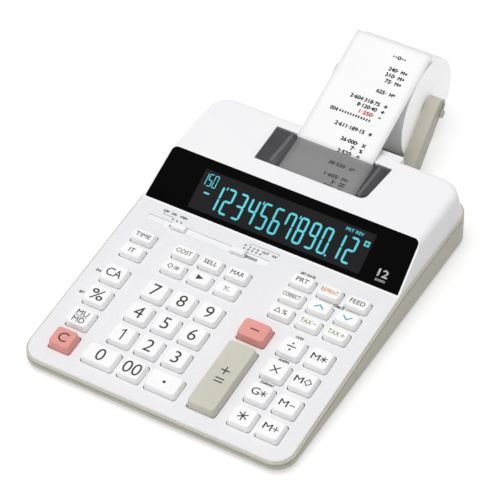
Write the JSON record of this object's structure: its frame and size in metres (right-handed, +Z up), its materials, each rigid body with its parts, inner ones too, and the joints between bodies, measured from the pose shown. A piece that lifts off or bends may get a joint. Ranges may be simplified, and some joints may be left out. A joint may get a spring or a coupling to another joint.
{
  "type": "desk calculator",
  "caption": "Printing desk calculator with a sloping key deck, tilted digit display, smoked printer cover and a paper roll held on rear arms.",
  "frame": {"origin": "on the table, under the middle of the whole object", "axes": "+X to the right, +Y from the keys back to the paper roll, +Z up"},
  "size_m": [0.195, 0.3416, 0.0784],
  "materials": {
    "key_white": "satin, printed legends",
    "key_pink": "satin",
    "key_beige": "satin",
    "white_case": "satin, fine woven texture on the key deck",
    "beige_case": "satin",
    "panel_black": "polished black panel",
    "display_dark": "dark display with lit digits",
    "mat_rubber": "matte silicone",
    "board_green": "lacquered board",
    "frame_plastic": "black moulded frame",
    "roller_rubber": "matte",
    "ink_felt": "inked felt",
    "smoked_cover": "smoked clear plastic",
    "roll_paper": "plain paper",
    "strip_paper": "plain printed paper",
    "switch_white": "satin",
    "foot_rubber": "matte",
    "screw_steel": "zinc plated"
  },
  "bodies": {
    "case": {"case_screws": "screw_steel", "display_module": "display_dark", "display_window": "panel_black", "keypad_mat": "mat_rubber", "lower_case": "beige_case", "main_board": "board_green", "paper_strip": "strip_paper", "printer_frame": "frame_plastic", "roll_holder": "beige_case", "rubber_feet": "foot_rubber", "upper_case": "white_case"},
    "key_clear": {"key_clear": "key_pink"},
    "key_clear_all": {"key_clear_all": "key_white"},
    "key_correct": {"key_correct": "key_white"},
    "key_cost": {"key_cost": "key_white"},
    "key_delta": {"key_delta": "key_white"},
    "key_digit_0": {"key_digit_0": "key_white"},
    "key_digit_1": {"key_digit_1": "key_white"},
    "key_digit_2": {"key_digit_2": "key_white"},
    "key_digit_3": {"key_digit_3": "key_white"},
    "key_digit_4": {"key_digit_4": "key_white"},
    "key_digit_5": {"key_digit_5": "key_white"},
    "key_digit_6": {"key_digit_6": "key_white"},
    "key_digit_7": {"key_digit_7": "key_white"},
    "key_digit_8": {"key_digit_8": "key_white"},
    "key_digit_9": {"key_digit_9": "key_white"},
    "key_divide": {"key_divide": "key_white"},
    "key_double_zero": {"key_double_zero": "key_white"},
    "key_down": {"key_down": "key_white"},
    "key_feed": {"key_feed": "key_white"},
    "key_grand_total": {"key_grand_total": "key_white"},
    "key_item": {"key_item": "key_white"},
    "key_margin": {"key_margin": "key_white"},
    "key_markup": {"key_markup": "key_white"},
    "key_memory_minus": {"key_memory_minus": "key_white"},
    "key_memory_plus": {"key_memory_plus": "key_white"},
    "key_memory_subtotal": {"key_memory_subtotal": "key_white"},
    "key_memory_total": {"key_memory_total": "key_white"},
    "key_minus": {"key_minus": "key_pink"},
    "key_multiply": {"key_multiply": "key_white"},
    "key_non_add": {"key_non_add": "key_white"},
    "key_percent": {"key_percent": "key_white"},
    "key_plus_equals": {"key_plus_equals": "key_beige"},
    "key_point": {"key_point": "key_white"},
    "key_print": {"key_print": "key_white"},
    "key_reprint": {"key_reprint": "key_white"},
    "key_sell": {"key_sell": "key_white"},
    "key_shift": {"key_shift": "key_white"},
    "key_sign": {"key_sign": "key_white"},
    "key_tax_minus": {"key_tax_minus": "key_white"},
    "key_tax_plus": {"key_tax_plus": "key_white"},
    "key_time": {"key_time": "key_white"},
    "key_total": {"key_total": "key_white"},
    "key_up": {"key_up": "key_white"},
    "mode_switch": {"mode_switch": "switch_white"},
    "decimal_switch": {"decimal_switch": "switch_white"},
    "printer_cover": {"printer_cover": "smoked_cover"},
    "paper_roll": {"paper_roll": "roll_paper"},
    "platen_roller": {"platen_roller": "roller_rubber"},
    "ink_roller": {"ink_roller": "ink_felt"}
  },
  "joints": [
    {"name": "mode_switch_slide", "type": "slide", "parent": "case", "child": "mode_switch", "axis": [1, 0, 0], "range_m": [-0.0052, 0]},
    {"name": "decimal_switch_slide", "type": "slide", "parent": "case", "child": "decimal_switch", "axis": [1, 0, 0], "range_m": [0, 0.012]},
    {"name": "printer_cover_hinge", "type": "hinge", "parent": "case", "child": "printer_cover", "pos_m": [0.0017, 0.028, 0.04453], "axis": [1, 0, 0], "range_deg": [0, 75]},
    {"name": "platen_roller_spin", "type": "hinge", "parent": "case", "child": "platen_roller", "pos_m": [0.0033, 0.03615, 0.03], "axis": [1, 0, 0], "continuous": true},
    {"name": "ink_roller_spin", "type": "hinge", "parent": "case", "child": "ink_roller", "pos_m": [0.0033, 0.05715, 0.0295], "axis": [1, 0, 0], "continuous": true},
    {"name": "paper_roll_spin", "type": "hinge", "parent": "case", "child": "paper_roll", "pos_m": [0.0033, 0.13495, 0.0368], "axis": [1, 0, 0], "continuous": true},
    {"name": "key_clear_press", "type": "slide", "parent": "case", "child": "key_clear", "axis": [0, 0.1097, -0.994], "range_m": [0, 0.0018], "stiffness_N_per_m": 300},
    {"name": "key_clear_all_press", "type": "slide", "parent": "case", "child": "key_clear_all", "axis": [0, 0.1097, -0.994], "range_m": [0, 0.0018], "stiffness_N_per_m": 300},
    {"name": "key_correct_press", "type": "slide", "parent": "case", "child": "key_correct", "axis": [0, 0.1097, -0.994], "range_m": [0, 0.0018], "stiffness_N_per_m": 300},
    {"name": "key_cost_press", "type": "slide", "parent": "case", "child": "key_cost", "axis": [0, 0.1097, -0.994], "range_m": [0, 0.0018], "stiffness_N_per_m": 300},
    {"name": "key_delta_press", "type": "slide", "parent": "case", "child": "key_delta", "axis": [0, 0.1097, -0.994], "range_m": [0, 0.0018], "stiffness_N_per_m": 300},
    {"name": "key_digit_0_press", "type": "slide", "parent": "case", "child": "key_digit_0", "axis": [0, 0.1097, -0.994], "range_m": [0, 0.0018], "stiffness_N_per_m": 300},
    {"name": "key_digit_1_press", "type": "slide", "parent": "case", "child": "key_digit_1", "axis": [0, 0.1097, -0.994], "range_m": [0, 0.0018], "stiffness_N_per_m": 300},
    {"name": "key_digit_2_press", "type": "slide", "parent": "case", "child": "key_digit_2", "axis": [0, 0.1097, -0.994], "range_m": [0, 0.0018], "stiffness_N_per_m": 300},
    {"name": "key_digit_3_press", "type": "slide", "parent": "case", "child": "key_digit_3", "axis": [0, 0.1097, -0.994], "range_m": [0, 0.0018], "stiffness_N_per_m": 300},
    {"name": "key_digit_4_press", "type": "slide", "parent": "case", "child": "key_digit_4", "axis": [0, 0.1097, -0.994], "range_m": [0, 0.0018], "stiffness_N_per_m": 300},
    {"name": "key_digit_5_press", "type": "slide", "parent": "case", "child": "key_digit_5", "axis": [0, 0.1097, -0.994], "range_m": [0, 0.0018], "stiffness_N_per_m": 300},
    {"name": "key_digit_6_press", "type": "slide", "parent": "case", "child": "key_digit_6", "axis": [0, 0.1097, -0.994], "range_m": [0, 0.0018], "stiffness_N_per_m": 300},
    {"name": "key_digit_7_press", "type": "slide", "parent": "case", "child": "key_digit_7", "axis": [0, 0.1097, -0.994], "range_m": [0, 0.0018], "stiffness_N_per_m": 300},
    {"name": "key_digit_8_press", "type": "slide", "parent": "case", "child": "key_digit_8", "axis": [0, 0.1097, -0.994], "range_m": [0, 0.0018], "stiffness_N_per_m": 300},
    {"name": "key_digit_9_press", "type": "slide", "parent": "case", "child": "key_digit_9", "axis": [0, 0.1097, -0.994], "range_m": [0, 0.0018], "stiffness_N_per_m": 300},
    {"name": "key_divide_press", "type": "slide", "parent": "case", "child": "key_divide", "axis": [0, 0.1097, -0.994], "range_m": [0, 0.0018], "stiffness_N_per_m": 300},
    {"name": "key_double_zero_press", "type": "slide", "parent": "case", "child": "key_double_zero", "axis": [0, 0.1097, -0.994], "range_m": [0, 0.0018], "stiffness_N_per_m": 300},
    {"name": "key_down_press", "type": "slide", "parent": "case", "child": "key_down", "axis": [0, 0.1097, -0.994], "range_m": [0, 0.0018], "stiffness_N_per_m": 300},
    {"name": "key_feed_press", "type": "slide", "parent": "case", "child": "key_feed", "axis": [0, 0.1097, -0.994], "range_m": [0, 0.0018], "stiffness_N_per_m": 300},
    {"name": "key_grand_total_press", "type": "slide", "parent": "case", "child": "key_grand_total", "axis": [0, 0.1097, -0.994], "range_m": [0, 0.0018], "stiffness_N_per_m": 300},
    {"name": "key_item_press", "type": "slide", "parent": "case", "child": "key_item", "axis": [0, 0.1097, -0.994], "range_m": [0, 0.0018], "stiffness_N_per_m": 300},
    {"name": "key_margin_press", "type": "slide", "parent": "case", "child": "key_margin", "axis": [0, 0.1097, -0.994], "range_m": [0, 0.0018], "stiffness_N_per_m": 300},
    {"name": "key_markup_press", "type": "slide", "parent": "case", "child": "key_markup", "axis": [0, 0.1097, -0.994], "range_m": [0, 0.0018], "stiffness_N_per_m": 300},
    {"name": "key_memory_minus_press", "type": "slide", "parent": "case", "child": "key_memory_minus", "axis": [0, 0.1097, -0.994], "range_m": [0, 0.0018], "stiffness_N_per_m": 300},
    {"name": "key_memory_plus_press", "type": "slide", "parent": "case", "child": "key_memory_plus", "axis": [0, 0.1097, -0.994], "range_m": [0, 0.0018], "stiffness_N_per_m": 300},
    {"name": "key_memory_subtotal_press", "type": "slide", "parent": "case", "child": "key_memory_subtotal", "axis": [0, 0.1097, -0.994], "range_m": [0, 0.0018], "stiffness_N_per_m": 300},
    {"name": "key_memory_total_press", "type": "slide", "parent": "case", "child": "key_memory_total", "axis": [0, 0.1097, -0.994], "range_m": [0, 0.0018], "stiffness_N_per_m": 300},
    {"name": "key_minus_press", "type": "slide", "parent": "case", "child": "key_minus", "axis": [0, 0.1097, -0.994], "range_m": [0, 0.0018], "stiffness_N_per_m": 300},
    {"name": "key_multiply_press", "type": "slide", "parent": "case", "child": "key_multiply", "axis": [0, 0.1097, -0.994], "range_m": [0, 0.0018], "stiffness_N_per_m": 300},
    {"name": "key_non_add_press", "type": "slide", "parent": "case", "child": "key_non_add", "axis": [0, 0.1097, -0.994], "range_m": [0, 0.0018], "stiffness_N_per_m": 300},
    {"name": "key_percent_press", "type": "slide", "parent": "case", "child": "key_percent", "axis": [0, 0.1097, -0.994], "range_m": [0, 0.0018], "stiffness_N_per_m": 300},
    {"name": "key_plus_equals_press", "type": "slide", "parent": "case", "child": "key_plus_equals", "axis": [0, 0.1097, -0.994], "range_m": [0, 0.0018], "stiffness_N_per_m": 300},
    {"name": "key_point_press", "type": "slide", "parent": "case", "child": "key_point", "axis": [0, 0.1097, -0.994], "range_m": [0, 0.0018], "stiffness_N_per_m": 300},
    {"name": "key_print_press", "type": "slide", "parent": "case", "child": "key_print", "axis": [0, 0.1097, -0.994], "range_m": [0, 0.0018], "stiffness_N_per_m": 300},
    {"name": "key_reprint_press", "type": "slide", "parent": "case", "child": "key_reprint", "axis": [0, 0.1097, -0.994], "range_m": [0, 0.0018], "stiffness_N_per_m": 300},
    {"name": "key_sell_press", "type": "slide", "parent": "case", "child": "key_sell", "axis": [0, 0.1097, -0.994], "range_m": [0, 0.0018], "stiffness_N_per_m": 300},
    {"name": "key_shift_press", "type": "slide", "parent": "case", "child": "key_shift", "axis": [0, 0.1097, -0.994], "range_m": [0, 0.0018], "stiffness_N_per_m": 300},
    {"name": "key_sign_press", "type": "slide", "parent": "case", "child": "key_sign", "axis": [0, 0.1097, -0.994], "range_m": [0, 0.0018], "stiffness_N_per_m": 300},
    {"name": "key_tax_minus_press", "type": "slide", "parent": "case", "child": "key_tax_minus", "axis": [0, 0.1097, -0.994], "range_m": [0, 0.0018], "stiffness_N_per_m": 300},
    {"name": "key_tax_plus_press", "type": "slide", "parent": "case", "child": "key_tax_plus", "axis": [0, 0.1097, -0.994], "range_m": [0, 0.0018], "stiffness_N_per_m": 300},
    {"name": "key_time_press", "type": "slide", "parent": "case", "child": "key_time", "axis": [0, 0.1097, -0.994], "range_m": [0, 0.0018], "stiffness_N_per_m": 300},
    {"name": "key_total_press", "type": "slide", "parent": "case", "child": "key_total", "axis": [0, 0.1097, -0.994], "range_m": [0, 0.0018], "stiffness_N_per_m": 300},
    {"name": "key_up_press", "type": "slide", "parent": "case", "child": "key_up", "axis": [0, 0.1097, -0.994], "range_m": [0, 0.0018], "stiffness_N_per_m": 300}
  ],
  "couplings": [
    {"joint": "paper_roll_spin", "follows": "platen_roller_spin", "ratio": 0.22284}
  ]
}
